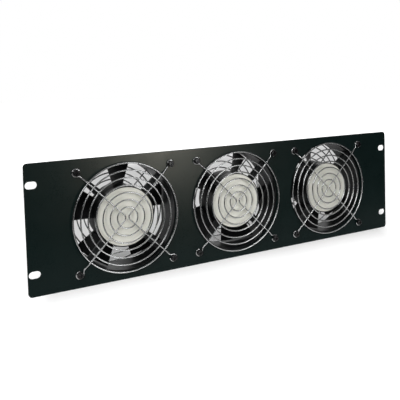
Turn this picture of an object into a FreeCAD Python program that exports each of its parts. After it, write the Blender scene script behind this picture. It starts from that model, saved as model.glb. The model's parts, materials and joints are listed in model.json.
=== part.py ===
"""Rack fan panel: a flat three-unit rack panel that carries three axial mains fans side by side.

Frame: +X runs along the panel to the right as seen from the front, +Z points up and +Y points
into the rack. The origin is the centre of the four rack slots on the panel's rear face, which
is the face that lies against the rack rails. Lengths are in millimetres, angles in degrees.
"""
import FreeCAD
import Part
import math
import os

# Panel: a flat steel plate that fills a 19 inch opening
panel_width = 482.6
rack_unit_height = 44.45
panel_units = 3
panel_height_allowance = 0.75
panel_thickness = 2.0
panel_corner_radius = 4.0

# Oblong slots for the rack screws
rack_slot_length = 11.7
rack_slot_width = 7.6
rack_slot_inset = 6.9

# Fans: three alike, side by side
fan_pitch = 137.5
fan_side = 119.0
fan_depth = 38.0
fan_screw_inset = 7.0
fan_corner_radius = 6.0
flange_thickness = 5.0
panel_opening_step = 1.5

# Fan housing: barrel, ribs and motor spider
bore_margin = 2.5
barrel_wall = 2.0
inlet_flare_depth = 7.0
inlet_flare_width = 7.5
flange_edge = 2.2
corner_rib_thickness = 3.0
corner_rib_height = 6.5
motor_radius = 32.4
motor_plate_front = 0.4
motor_plate_thickness = 3.4
motor_skirt_wall = 2.0
motor_skirt_end = 9.5
strut_front = 1.0
strut_rear = 6.4
strut_root_width = 9.0
strut_tip_width = 6.0
strut_edge_radius = 1.0
strut_count = 4

# Bare round plate on the motor's front
label_radius = 31.4
label_thickness = 0.35
label_recess_depth = 0.5
label_edge_clearance = 0.15

# Bearings in the tube at the centre of the housing
shaft_radius = 2.0
shaft_front = 5.0
bearing_radius = 5.45
bearing_width = 4.0
bearing_race_wall = 0.85
bearing_shield_depth = 0.35
bearing_running_clearance = 0.03
bearing_shoulder = 0.6
front_bearing_start = 6.6
rear_bearing_inset = 0.4
bearing_tube_wall = 2.0
bearing_tube_end_gap = 3.55
press_gap = 0.05
ring_groove_start = 5.7
ring_thickness = 0.6
ring_outer_radius = 3.7
ring_groove_depth = 0.4
ring_mouth_angle = 70.0

# Stator: laminated core with four poles and a coil on each
stator_radius = 26.3
stator_start = 12.8
stator_hub_wall = 4.0
pole_count = 4
pole_width = 8.0
pole_shoe_thickness = 3.0
pole_shoe_angle = 72.0
coil_gap = 0.2
coil_build = 4.0
coil_edge_radius = 3.6
coil_radial_gap = 0.6
coil_running_gap = 2.15

# Lead wires: two insulated wires from the terminal block to the nearest coils
lead_diameter = 1.3
lead_side_gap = 0.15
lead_rest_gap = 0.1
lead_bend_radius = 1.6
lead_start_inset = 2.3
lead_start_spacing = 2.4
lead_start_depth = 2.5
lead_rise = 1.8
lead_barrel_step = 3.0
lead_rib_gap = 0.5
lead_core_distance = 26.5
lead_coil_distance = 17.5
lead_end_gap = 0.3
lead_slot_gap = 0.4
lead_slot_height = 2.0
lead_notch_width = 4.4

# Rotor: impeller pressed over a steel cup on the shaft
impeller_front = 10.6
impeller_rear_clearance = 1.8
impeller_hub_radius = 32.0
impeller_hub_wall = 2.6
impeller_back_thickness = 2.6
impeller_hub_edge = 3.5
rotor_cup_wall = 2.4
rotor_cup_boss_radius = 6.0
rotor_cup_front = 11.2
boss_running_gap = 1.0

# Blades: twisted and cambered, with straight radial edges
blade_count = 5
blade_angle_span = 35.0
blade_front = 11.0
blade_rear_inset = 1.8
blade_camber = 3.2
blade_root_thickness = 2.6
blade_tip_thickness = 1.5
blade_edge_thickness = 0.7
blade_tip_clearance = 0.9
blade_stations = 3
blade_root_depth = 4.1
blade_tip_trim = 1.0

# Wire guards: round rings welded over two bent leg wires
guard_wire_diameter = 1.6
guard_ring_count = 7
guard_first_ring_radius = 11.3
guard_last_ring_inset = 0.4
guard_ring_stand_off = 3.2
guard_weld_depth = 0.25
guard_leg_bend_radius = 4.6
guard_hook_radius = 3.7
guard_hook_bend_radius = 4.0
guard_ramp_bend_radius = 6.0
guard_ramp_start_step = 2.9
guard_ramp_run = 4.0

# Screws, washers and nuts at the fan corners
screw_radius = 2.0
screw_hole_radius = 2.25
front_screw_length = 16.0
rear_screw_length = 14.0
screw_head_radius = 3.6
screw_head_height = 2.6
screw_head_edge = 1.2
screw_recess_width = 1.1
screw_recess_span = 4.2
screw_recess_depth = 1.4
washer_outer_radius = 4.5
washer_thickness = 0.8
washer_hole_clearance = 0.15
nut_across_flats = 7.0
nut_height = 3.2
nut_chamfer = 0.38
nut_chamfer_run = 0.6
nut_bore_clearance = 0.05

# Mains terminals moulded into the side of each housing
terminal_block_width = 15.0
terminal_block_depth = 13.0
terminal_block_height = 7.0
terminal_block_x = 31.0
terminal_block_start = 12.5
terminal_tab_spacing = 6.5
terminal_tab_width = 2.8
terminal_tab_thickness = 0.8
terminal_tab_length = 6.2
terminal_tab_root = 3.0
terminal_tab_hole_radius = 0.6

# Rest position of each impeller: the angle of one blade, counter-clockwise from +X
fans = {
    "left": {"place": -1, "blade_angle": 17.0},
    "centre": {"place": 0, "blade_angle": 68.5},
    "right": {"place": 1, "blade_angle": 30.0},
}

# Sizes that follow from the ones above
panel_height = panel_units * rack_unit_height - panel_height_allowance
rack_slot_spacing_x = panel_width - 2 * rack_slot_inset
rack_slot_spacing_z = (panel_units - 1) * rack_unit_height
fan_screw_spacing = fan_side - 2 * fan_screw_inset
screw_corner = fan_screw_spacing / 2
bore_radius = fan_side / 2 - bore_margin
barrel_radius = bore_radius + barrel_wall
panel_opening_radius = bore_radius + panel_opening_step
guard_last_ring_radius = panel_opening_radius - guard_last_ring_inset
guard_ring_pitch = (guard_last_ring_radius - guard_first_ring_radius) / (guard_ring_count - 1)
guard_ramp_start = guard_last_ring_radius + guard_ramp_start_step
guard_ramp_end = guard_ramp_start + guard_ramp_run
guard_wire_radius = guard_wire_diameter / 2
lead_radius = lead_diameter / 2
lead_pitch = lead_diameter + lead_side_gap
lead_level = strut_rear + lead_rest_gap + lead_radius
lead_nearest_side = corner_rib_thickness / 2 + lead_rib_gap + lead_radius
bearing_tube_bore = bearing_radius + press_gap
bearing_tube_radius = bearing_tube_bore + bearing_tube_wall
motor_plate_rear = motor_plate_front + motor_plate_thickness
blade_tip_radius = bore_radius - blade_tip_clearance
rotor_cup_radius = impeller_hub_radius - impeller_hub_wall - press_gap
impeller_rear = fan_depth - impeller_rear_clearance
impeller_back_front = impeller_rear - impeller_back_thickness
blade_rear = impeller_rear - blade_rear_inset
rotor_cup_rear = impeller_back_front - press_gap
rotor_cup_floor = rotor_cup_rear - rotor_cup_wall
coil_rear = rotor_cup_floor - coil_running_gap
stator_end = coil_rear - coil_build - coil_gap
bearing_tube_end = rotor_cup_floor - bearing_tube_end_gap
rear_bearing_start = bearing_tube_end - rear_bearing_inset - bearing_width
axis = FreeCAD.Vector(0, 1, 0)
origin = FreeCAD.Vector(0, 0, 0)


def point(x, y, z):
    return FreeCAD.Vector(x, y, z)


def rod(radius, start, end, x=0.0, z=0.0):
    """Round bar along Y."""
    return Part.makeCylinder(radius, end - start, point(x, start, z), axis)


def tube(outer, inner, start, end, x=0.0, z=0.0):
    """Round tube along Y."""
    return rod(outer, start, end, x, z).cut(rod(inner, start, end, x, z))


def block(x_start, x_end, y_start, y_end, z_start, z_end):
    corner = point(x_start, y_start, z_start)
    return Part.makeBox(x_end - x_start, y_end - y_start, z_end - z_start, corner)


def turned(profile):
    """Solid of revolution about Y from a closed outline of (radius, depth) points."""
    corners = [point(radius, depth, 0) for radius, depth in profile]
    outline = Part.makePolygon(corners + corners[:1])
    return Part.Face(outline).revolve(origin, axis, 360)


def spun(shape, angle):
    """Copy turned about Y, counter-clockwise as seen from the front."""
    copy = shape.copy()
    copy.rotate(origin, axis, -angle)
    return copy


def moved(shape, x=0.0, y=0.0, z=0.0):
    copy = shape.copy()
    copy.translate(point(x, y, z))
    return copy


def edges_along_y(shape):
    found = []
    for edge in shape.Edges:
        if len(edge.Vertexes) == 2:
            run = edge.Vertexes[1].Point.sub(edge.Vertexes[0].Point)
            if abs(run.x) < 0.001 and abs(run.z) < 0.001:
                found.append(edge)
    return found


def rounded_plate(width, height, start, end, radius):
    """Flat plate square to Y, centred on the axis, with rounded corners."""
    plate = block(-width / 2, width / 2, start, end, -height / 2, height / 2)
    return plate.makeFillet(radius, edges_along_y(plate))


def corner_points(spacing_x, spacing_z):
    """The four corners of a rectangle centred on the axis."""
    return [(sx * spacing_x / 2, sz * spacing_z / 2) for sx in (-1, 1) for sz in (-1, 1)]


def fan_corners():
    return corner_points(fan_screw_spacing, fan_screw_spacing)


def make_rack_slot(x, z):
    """Oblong cutter that runs along X."""
    half_run = (rack_slot_length - rack_slot_width) / 2
    half_width = rack_slot_width / 2
    slot = block(x - half_run, x + half_run, -panel_thickness, 0, z - half_width, z + half_width)
    ends = [rod(half_width, -panel_thickness, 0, x + side * half_run, z) for side in (-1, 1)]
    return slot.multiFuse(ends)


def make_front_panel():
    plate = rounded_plate(panel_width, panel_height, -panel_thickness, 0, panel_corner_radius)
    cutters = [make_rack_slot(x, z) for x, z in corner_points(rack_slot_spacing_x, rack_slot_spacing_z)]
    for fan in fans.values():
        fan_x = fan["place"] * fan_pitch
        cutters.append(rod(panel_opening_radius, -panel_thickness, 0, fan_x))
        for x, z in fan_corners():
            cutters.append(rod(screw_hole_radius, -panel_thickness, 0, fan_x + x, z))
    return plate.cut(cutters)


def make_strut():
    """Spider arm along +X, wider at the motor than at the barrel."""
    inner = motor_radius - motor_skirt_wall / 2
    outer = bore_radius + barrel_wall / 2
    corners = [
        point(inner, strut_front, -strut_root_width / 2),
        point(outer, strut_front, -strut_tip_width / 2),
        point(outer, strut_front, strut_tip_width / 2),
        point(inner, strut_front, strut_root_width / 2),
    ]
    outline = Part.Face(Part.makePolygon(corners + corners[:1]))
    arm = outline.extrude(axis * (strut_rear - strut_front))
    long_edges = []
    for edge in arm.Edges:
        run = edge.Vertexes[1].Point.sub(edge.Vertexes[0].Point)
        if abs(run.x) > 1:
            long_edges.append(edge)
    return arm.makeFillet(strut_edge_radius, long_edges)


def make_corner_rib():
    """Web along +X that stiffens the barrel between the two flanges."""
    inner = bore_radius + barrel_wall / 2
    half = corner_rib_thickness / 2
    web = block(inner, barrel_radius + corner_rib_height, 0, fan_depth, -half, half)
    return web


def make_inlet_flare():
    """Cone that opens the rear of the barrel, held inside the flange's straight sides."""
    start = fan_depth - inlet_flare_depth
    mouth = bore_radius + inlet_flare_width
    cone = Part.makeCone(bore_radius, mouth, inlet_flare_depth, point(0, start, 0), axis)
    limit = fan_side / 2 - flange_edge
    return cone.common(block(-limit, limit, start, fan_depth, -limit, limit))


def make_motor_base():
    """Front plate, short skirt and bearing tube of the motor, turned in one piece."""
    recess = label_radius + label_edge_clearance
    recess_floor = motor_plate_front + label_recess_depth
    skirt = motor_radius - motor_skirt_wall
    return turned([
        (0, recess_floor), (recess, recess_floor), (recess, motor_plate_front),
        (motor_radius, motor_plate_front), (motor_radius, motor_skirt_end),
        (skirt, motor_skirt_end), (skirt, motor_plate_rear),
        (bearing_tube_radius, motor_plate_rear), (bearing_tube_radius, bearing_tube_end),
        (bearing_tube_bore, bearing_tube_end), (bearing_tube_bore, front_bearing_start),
        (bearing_tube_bore - bearing_shoulder, front_bearing_start),
        (bearing_tube_bore - bearing_shoulder, motor_plate_rear), (0, motor_plate_rear),
    ])


def make_lead_slots():
    """Cutters for the lead wires: a slot through the barrel and a notch in the motor skirt."""
    far = lead_nearest_side + lead_pitch + lead_radius + lead_slot_gap
    top = strut_rear + lead_slot_height
    wall = block(bore_radius - barrel_wall / 2, barrel_radius + lead_slot_gap, strut_rear, top,
                 -far, -corner_rib_thickness / 2)
    skirt = block(motor_radius - motor_skirt_wall - lead_slot_gap, motor_radius + lead_slot_gap,
                  strut_rear, motor_skirt_end, -lead_notch_width / 2, lead_notch_width / 2)
    return [spun(wall, -45), spun(skirt, -45)]


def make_fan_frame():
    """Housing: two square flanges, barrel, corner ribs and the spider with its motor base."""
    frame = rounded_plate(fan_side, fan_side, 0, flange_thickness, fan_corner_radius)
    rear_flange = rounded_plate(fan_side, fan_side, fan_depth - flange_thickness, fan_depth, fan_corner_radius)
    ribs = [spun(make_corner_rib(), 45 + 90 * index) for index in range(4)]
    frame = frame.multiFuse([rear_flange, rod(barrel_radius, 0, fan_depth)] + ribs)
    holes = [rod(screw_hole_radius, 0, fan_depth, x, z) for x, z in fan_corners()]
    frame = frame.cut([rod(bore_radius, 0, fan_depth), make_inlet_flare()] + holes)
    struts = [spun(make_strut(), 45 + 360 / strut_count * index) for index in range(strut_count)]
    frame = frame.multiFuse(struts + [make_motor_base()]).removeSplitter()
    return frame.cut(make_lead_slots())


def make_hub_label():
    start = motor_plate_front + label_recess_depth - label_thickness
    return rod(label_radius, start, start + label_thickness)


def make_terminal_block():
    """Moulded block on the outside of the barrel, at the lower right corner."""
    top = -fan_side / 2 + terminal_block_height
    left = terminal_block_x - terminal_block_width / 2
    body = block(left, left + terminal_block_width, terminal_block_start,
                 terminal_block_start + terminal_block_depth, -fan_side / 2, top)
    body = body.cut(rod(barrel_radius + press_gap, 0, fan_depth))
    slots = [moved(make_terminal_tab(press_gap), x) for x in terminal_places()]
    return body.cut(slots)


def terminal_places():
    return [terminal_block_x + side * terminal_tab_spacing / 2 for side in (-1, 1)]


def make_terminal_tab(allowance=0.0):
    """Flat blade that points down, for a push-on connector."""
    half_thickness = terminal_tab_thickness / 2 + allowance
    half_width = terminal_tab_width / 2 + allowance
    middle = terminal_block_start + terminal_block_depth / 2
    low = -fan_side / 2 - terminal_tab_length
    top = -fan_side / 2 + terminal_tab_root + allowance
    blade = block(-half_width, half_width, middle - half_thickness, middle + half_thickness, low, top)
    hole = rod(terminal_tab_hole_radius, middle - half_thickness, middle + half_thickness,
               0, low + terminal_tab_length / 2)
    return blade.cut(hole)


def make_terminal_tabs():
    return [moved(make_terminal_tab(), x) for x in terminal_places()]


def by_lower_right_strut(distance, side):
    """Point on the rear of the lower right strut, from its distance along and offset across."""
    share = math.cos(math.radians(45))
    return point((distance + side) * share, lead_level, (side - distance) * share)


def make_lead_wire(start_x, wall_side, core_side, coil_x, coil_z):
    """Insulated wire from the terminal block, through the barrel and along the strut to a coil."""
    start_y = terminal_block_start + lead_start_depth
    block_top = -fan_side / 2 + terminal_block_height
    corners = [
        point(start_x, start_y, block_top + press_gap),
        point(start_x, start_y, block_top + lead_rise),
        by_lower_right_strut(barrel_radius + lead_barrel_step, wall_side),
        by_lower_right_strut(lead_core_distance, core_side),
        point(coil_x, lead_level, coil_z),
        point(coil_x, stator_start - lead_end_gap, coil_z),
    ]
    return round_wire(rounded_path(corners, [lead_bend_radius] * 4), lead_radius)


def make_lead_wires():
    outer_x = terminal_block_x + terminal_block_width / 2 - lead_start_inset
    beside_coil = pole_width / 2 + coil_gap + coil_build + lead_radius + lead_rest_gap
    right = make_lead_wire(outer_x, -lead_nearest_side, lead_pitch / 2,
                           lead_coil_distance, -beside_coil)
    lower = make_lead_wire(outer_x - lead_start_spacing, -lead_nearest_side - lead_pitch,
                           -lead_pitch / 2, beside_coil, -lead_coil_distance)
    return [right, lower]


def make_bearing(start):
    """Ball bearing outline: two races with a shallow shield between them on each face."""
    bore = shaft_radius + bearing_running_clearance
    end = start + bearing_width
    race = bearing_race_wall
    shield = bearing_shield_depth
    return turned([
        (bore, start), (bore + race, start), (bore + race, start + shield),
        (bearing_radius - race, start + shield), (bearing_radius - race, start),
        (bearing_radius, start), (bearing_radius, end), (bearing_radius - race, end),
        (bearing_radius - race, end - shield), (bore + race, end - shield),
        (bore + race, end), (bore, end),
    ])


def make_bearings():
    return [make_bearing(front_bearing_start), make_bearing(rear_bearing_start)]


def make_sector(outer, inner, angle, start, end):
    """Ring sector centred on +X."""
    low = point(inner, start, 0)
    high = point(outer, end, 0)
    corners = [low, point(outer, start, 0), high, point(inner, end, 0)]
    side = Part.Face(Part.makePolygon(corners + corners[:1]))
    return spun(side.revolve(origin, axis, angle), angle / 2)


def make_stator_core():
    """Stack of laminations: a hub on the bearing tube and four poles with curved shoes."""
    end = stator_end
    bore = bearing_tube_radius + press_gap
    hub = tube(bore + stator_hub_wall, bore, stator_start, end)
    half = pole_width / 2
    shoe_inner = stator_radius - pole_shoe_thickness
    arm = block(bore + stator_hub_wall / 2, stator_radius - pole_shoe_thickness / 2,
                stator_start, end, -half, half)
    shoe = make_sector(stator_radius, shoe_inner, pole_shoe_angle, stator_start, end)
    pole = arm.fuse(shoe)
    poles = [spun(pole, 360 / pole_count * index) for index in range(pole_count)]
    return hub.multiFuse(poles).removeSplitter()


def make_coil():
    """Bobbin of wire wound round the pole that points along +X."""
    half = pole_width / 2 + coil_gap
    inner = bearing_tube_radius + press_gap + stator_hub_wall + coil_radial_gap
    shoe_inner = stator_radius - pole_shoe_thickness - coil_radial_gap
    outer = math.sqrt(shoe_inner ** 2 - (half + coil_build) ** 2)
    front = stator_start - coil_gap
    rear = stator_end + coil_gap
    bundle = block(inner, outer, front - coil_build, rear + coil_build, -half - coil_build, half + coil_build)
    long_edges = []
    for edge in bundle.Edges:
        run = edge.Vertexes[1].Point.sub(edge.Vertexes[0].Point)
        if abs(run.y) < 0.001 and abs(run.z) < 0.001:
            long_edges.append(edge)
    bundle = bundle.makeFillet(coil_edge_radius, long_edges)
    return bundle.cut(block(inner, outer, front, rear, -half, half))


def make_windings():
    return [spun(make_coil(), 360 / pole_count * index) for index in range(pole_count)]


def make_shaft():
    shaft = rod(shaft_radius, shaft_front, rotor_cup_rear)
    groove = tube(shaft_radius, shaft_radius - ring_groove_depth, ring_groove_start,
                  ring_groove_start + ring_thickness + press_gap)
    return shaft.cut(groove)


def make_retaining_ring():
    """Open ring that snaps into the groove at the front of the shaft."""
    inner = shaft_radius - ring_groove_depth + press_gap
    start = ring_groove_start + press_gap / 2
    ring = tube(ring_outer_radius, inner, start, start + ring_thickness)
    mouth = make_sector(ring_outer_radius * 2, 0, ring_mouth_angle, start, start + ring_thickness)
    return ring.cut(mouth)


def make_rotor_cup():
    """Steel cup inside the impeller hub, with a boss that holds the shaft."""
    inner = rotor_cup_radius - rotor_cup_wall
    bore = shaft_radius + press_gap
    floor = rotor_cup_floor
    boss_front = bearing_tube_end + boss_running_gap
    return turned([
        (bore, rotor_cup_rear), (rotor_cup_radius, rotor_cup_rear),
        (rotor_cup_radius, rotor_cup_front), (inner, rotor_cup_front), (inner, floor),
        (rotor_cup_boss_radius, floor), (rotor_cup_boss_radius, boss_front), (bore, boss_front),
    ])


def blade_section(distance, thickness):
    """Cambered outline of one blade, square to the blade's radius at this distance.

    The leading edge is at the rear and the trailing edge at the front. The outline is two
    arcs whose middles stand half a thickness either side of the camber line.
    """
    half_chord = distance * math.tan(math.radians(blade_angle_span / 2))
    rise = blade_rear - blade_front
    chord = math.hypot(2 * half_chord, rise)
    across_z = rise / chord
    across_y = 2 * half_chord / chord
    edge = blade_edge_thickness / 2
    middle_y = (blade_front + blade_rear) / 2

    def offset(z, y, amount):
        return point(distance, y + amount * across_y, z + amount * across_z)

    rear_outer = offset(-half_chord, blade_rear, edge)
    rear_inner = offset(-half_chord, blade_rear, -edge)
    front_outer = offset(half_chord, blade_front, edge)
    front_inner = offset(half_chord, blade_front, -edge)
    outer_middle = offset(0, middle_y, blade_camber + thickness / 2)
    inner_middle = offset(0, middle_y, blade_camber - thickness / 2)
    return Part.Wire([
        Part.Arc(rear_outer, outer_middle, front_outer).toShape(),
        Part.LineSegment(front_outer, front_inner).toShape(),
        Part.Arc(front_inner, inner_middle, rear_inner).toShape(),
        Part.LineSegment(rear_inner, rear_outer).toShape(),
    ])


def make_blade():
    """Blade along +X, lofted from inside the hub wall to past the tip and trimmed to the bore."""
    root = impeller_hub_radius - impeller_hub_wall / 2
    first = impeller_hub_radius - blade_root_depth
    last = blade_tip_radius + blade_tip_trim
    sections = []
    for station in range(blade_stations):
        share = station / (blade_stations - 1)
        distance = first + share * (last - first)
        thickness = blade_root_thickness + share * (blade_tip_thickness - blade_root_thickness)
        sections.append(blade_section(distance, thickness))
    blade = Part.makeLoft(sections, True, False)
    return blade.common(tube(blade_tip_radius, root, 0, fan_depth))


def make_impeller(blade_angle):
    """Hub shell with a closed, rounded rear end and five blades."""
    inner = impeller_hub_radius - impeller_hub_wall
    hub = rod(impeller_hub_radius, impeller_front, impeller_rear)
    rear_edge = [edge for edge in hub.Edges if abs(edge.BoundBox.YMin - impeller_rear) < 0.001]
    hub = hub.makeFillet(impeller_hub_edge, rear_edge)
    hub = hub.cut(rod(inner, impeller_front, impeller_back_front))
    blade = make_blade()
    blades = [spun(blade, blade_angle + 360 / blade_count * index) for index in range(blade_count)]
    return hub.multiFuse(blades)


def rounded_path(corners, radii):
    """Straight runs through the corners, with a tangent arc of its own radius at each one."""
    edges = []
    start = corners[0]
    for before, corner, after, radius in zip(corners, corners[1:], corners[2:], radii):
        back = before.sub(corner).normalize()
        onward = after.sub(corner).normalize()
        half_angle = back.getAngle(onward) / 2
        reach = radius / math.tan(half_angle)
        first = corner + back * reach
        last = corner + onward * reach
        inward = (back + onward).normalize()
        middle = corner + inward * (radius / math.sin(half_angle) - radius)
        if first.distanceToPoint(start) > 0.001:
            edges.append(Part.LineSegment(start, first).toShape())
        edges.append(Part.Arc(first, middle, last).toShape())
        start = last
    if corners[-1].distanceToPoint(start) > 0.001:
        edges.append(Part.LineSegment(start, corners[-1]).toShape())
    return Part.Wire(edges)


def round_wire(path, radius):
    """Bent round wire along a path."""
    first = path.OrderedEdges[0]
    start = path.OrderedVertexes[0].Point
    direction = first.tangentAt(first.FirstParameter)
    section = Part.Wire(Part.makeCircle(radius, start, direction))
    return path.makePipeShell([section], True, False)


def hook_corners(turn):
    """Corners of one leg's outer end, from the ramp out to the tip of the hook.

    The leg drops to the panel outside the largest ring, turns aside and wraps three quarters
    of the way round the screw. The first corner is the one nearest the fan's axis.
    """
    leg_level = -guard_ring_stand_off + guard_wire_diameter - guard_weld_depth
    hook_level = -guard_wire_radius
    near = screw_corner - guard_hook_radius
    far = screw_corner + guard_hook_radius
    ramp_start = guard_ramp_start * math.cos(math.radians(45))
    ramp_end = guard_ramp_end * math.cos(math.radians(45))
    places = [
        (ramp_start, leg_level, ramp_start), (ramp_end, hook_level, ramp_end),
        (near, hook_level, near), (near, hook_level, far), (far, hook_level, far),
        (far, hook_level, near), (screw_corner, hook_level, near),
    ]
    angle = math.radians(turn)
    corners = []
    for x, y, z in places:
        turned_x = x * math.cos(angle) - z * math.sin(angle)
        turned_z = x * math.sin(angle) + z * math.cos(angle)
        corners.append(point(turned_x, y, turned_z))
    return corners


def make_guard_leg(first_turn, second_turn):
    """One leg wire: hook, leg, bend at the middle, leg and hook."""
    leg_level = -guard_ring_stand_off + guard_wire_diameter - guard_weld_depth
    first = hook_corners(first_turn)
    second = hook_corners(second_turn)
    middle = [point(0, leg_level, 0)]
    bends = [guard_ramp_bend_radius] * 2 + [guard_hook_bend_radius] + [guard_hook_radius] * 3
    corners = first[::-1] + middle + second
    radii = bends[::-1] + [guard_leg_bend_radius] + bends
    return round_wire(rounded_path(corners, radii), guard_wire_radius)


def make_guard():
    """Finger guard on a face at y = 0 that looks towards -Y."""
    rings = []
    for index in range(guard_ring_count):
        radius = guard_first_ring_radius + index * guard_ring_pitch
        rings.append(Part.makeTorus(radius, guard_wire_radius, point(0, -guard_ring_stand_off, 0), axis))
    legs = [make_guard_leg(90, 180), make_guard_leg(0, 270)]
    return legs[0].multiFuse([legs[1]] + rings)


def make_front_guard():
    return moved(make_guard(), y=-panel_thickness)


def make_rear_guard():
    guard = make_guard()
    guard.rotate(origin, point(0, 0, 1), 180)
    return moved(guard, y=fan_depth)


def make_screw(length):
    """Pan head screw along +Y with its head's seat at y = 0."""
    head = rod(screw_head_radius, -screw_head_height, 0)
    front_edge = [edge for edge in head.Edges if abs(edge.BoundBox.YMax + screw_head_height) < 0.001]
    head = head.makeFillet(screw_head_edge, front_edge)
    half_width = screw_recess_width / 2
    half_span = screw_recess_span / 2
    recess_end = screw_recess_depth - screw_head_height
    slot = block(-half_span, half_span, -screw_head_height, recess_end, -half_width, half_width)
    return head.fuse(rod(screw_radius, 0, length)).cut([slot, spun(slot, 90)])


def make_washer():
    return tube(washer_outer_radius, screw_radius + washer_hole_clearance, 0, washer_thickness)


def make_nut():
    """Hexagon nut along +Y with its seat at y = 0."""
    corner_radius = nut_across_flats / 2 / math.cos(math.radians(30))
    corners = []
    for index in range(7):
        angle = math.radians(60 * index)
        corners.append(point(corner_radius * math.cos(angle), 0, corner_radius * math.sin(angle)))
    body = Part.Face(Part.makePolygon(corners)).extrude(axis * nut_height)
    flat = corner_radius - nut_chamfer_run
    shoulder = nut_height - nut_chamfer
    envelope = turned([(0, 0), (flat, 0), (corner_radius, nut_chamfer), (corner_radius, shoulder),
                       (flat, nut_height), (0, nut_height)])
    return body.common(envelope).cut(rod(screw_radius + nut_bore_clearance, 0, nut_height))


def at_all_corners(shape):
    """One copy of a fastener at every screw corner of the three fans."""
    copies = []
    for fan in fans.values():
        for x, z in fan_corners():
            copies.append(moved(shape, fan["place"] * fan_pitch + x, 0, z))
    return copies


def facing_forward(shape, seat):
    """Turn a fastener made along +Y round, so that it points to -Y from its seat."""
    copy = shape.copy()
    copy.rotate(origin, point(0, 0, 1), 180)
    return moved(copy, y=seat)


def save(name, shape):
    solids = shape if isinstance(shape, list) else [shape]
    solids = [solid for part in solids for solid in part.Solids]
    result = solids[0] if len(solids) == 1 else Part.makeCompound(solids)
    result.exportStep("parts/" + name + ".step")


def build_fan(name, fan):
    """All the pieces of one fan and its two guards."""
    pieces = {
        "fan_frame": make_fan_frame(),
        "hub_label": make_hub_label(),
        "terminal_block": make_terminal_block(),
        "terminal_tabs": make_terminal_tabs(),
        "lead_wires": make_lead_wires(),
        "bearings": make_bearings(),
        "stator_core": make_stator_core(),
        "windings": make_windings(),
        "shaft": make_shaft(),
        "retaining_ring": make_retaining_ring(),
        "rotor_cup": make_rotor_cup(),
        "impeller": make_impeller(fan["blade_angle"]),
        "front_guard": make_front_guard(),
        "rear_guard": make_rear_guard(),
    }
    for piece, shape in pieces.items():
        group = shape if isinstance(shape, list) else [shape]
        save(name + "_" + piece, [moved(part, fan["place"] * fan_pitch) for part in group])


def build_fasteners():
    front_seat = -panel_thickness - guard_wire_diameter
    rear_seat = fan_depth + guard_wire_diameter
    front_washer = flange_thickness
    rear_washer = fan_depth - flange_thickness
    save("front_guard_screws", at_all_corners(moved(make_screw(front_screw_length), y=front_seat)))
    save("front_washers", at_all_corners(moved(make_washer(), y=front_washer)))
    save("front_nuts", at_all_corners(moved(make_nut(), y=front_washer + washer_thickness)))
    save("rear_guard_screws", at_all_corners(facing_forward(make_screw(rear_screw_length), rear_seat)))
    save("rear_washers", at_all_corners(facing_forward(make_washer(), rear_washer)))
    save("rear_nuts", at_all_corners(facing_forward(make_nut(), rear_washer - washer_thickness)))


os.makedirs("parts", exist_ok=True)
save("front_panel", make_front_panel())
for fan_name, fan_data in fans.items():
    build_fan(fan_name, fan_data)
build_fasteners()
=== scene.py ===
"""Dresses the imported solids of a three-fan rack panel: wire guards, blades, housings and their finishes.

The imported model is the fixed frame. Every shape is worked out in millimetres in that frame and
written to its mesh in metres: +X along the panel, +Y into the rack and +Z up.
"""
import json
import math

import bmesh
import bpy
import numpy as np
from bpy.props import FloatProperty, FloatVectorProperty, IntProperty, PointerProperty
from bpy.types import NodeSocket, Operator, Panel, PropertyGroup, Scene
from mathutils import Matrix, Vector


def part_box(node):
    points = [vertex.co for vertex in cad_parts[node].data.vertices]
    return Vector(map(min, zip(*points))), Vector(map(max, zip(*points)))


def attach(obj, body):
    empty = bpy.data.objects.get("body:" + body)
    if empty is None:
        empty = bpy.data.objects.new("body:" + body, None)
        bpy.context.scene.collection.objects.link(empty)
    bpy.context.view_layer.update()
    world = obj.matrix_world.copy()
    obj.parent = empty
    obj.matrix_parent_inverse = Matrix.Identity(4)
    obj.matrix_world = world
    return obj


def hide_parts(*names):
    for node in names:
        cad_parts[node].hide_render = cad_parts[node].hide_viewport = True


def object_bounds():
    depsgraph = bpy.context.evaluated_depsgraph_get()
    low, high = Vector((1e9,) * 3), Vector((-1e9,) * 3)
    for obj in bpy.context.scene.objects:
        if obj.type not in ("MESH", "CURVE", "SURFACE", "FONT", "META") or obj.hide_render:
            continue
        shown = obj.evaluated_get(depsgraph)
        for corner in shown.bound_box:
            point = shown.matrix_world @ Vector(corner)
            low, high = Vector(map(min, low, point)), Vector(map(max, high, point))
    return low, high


bl_info = {
    "name": "Rack fan panel",
    "version": (1, 0, 0),
    "blender": (4, 5, 0),
    "location": "3D View > Sidebar > Fan Panel",
    "description": "Wire guards, blades, housings and finishes of a three-fan rack panel",
    "category": "Object",
}

MM = 0.001
HALF_TURN = np.array([-1.0, -1.0, 1.0])  # about the Z axis
SHARP = math.radians(35)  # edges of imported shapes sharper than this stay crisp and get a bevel


def extent(node):
    """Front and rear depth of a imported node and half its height, in millimetres."""
    low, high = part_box(node)
    return low.y / MM, high.y / MM, (high.z - low.z) / MM / 2


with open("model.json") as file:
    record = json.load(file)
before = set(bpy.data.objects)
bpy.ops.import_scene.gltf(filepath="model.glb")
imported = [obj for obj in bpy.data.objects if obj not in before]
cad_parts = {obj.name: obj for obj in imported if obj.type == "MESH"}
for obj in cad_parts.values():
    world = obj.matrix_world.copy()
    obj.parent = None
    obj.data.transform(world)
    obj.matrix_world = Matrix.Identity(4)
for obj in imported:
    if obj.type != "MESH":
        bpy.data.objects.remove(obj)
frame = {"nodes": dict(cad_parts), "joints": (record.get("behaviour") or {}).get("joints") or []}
CAD_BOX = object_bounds()
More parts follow.
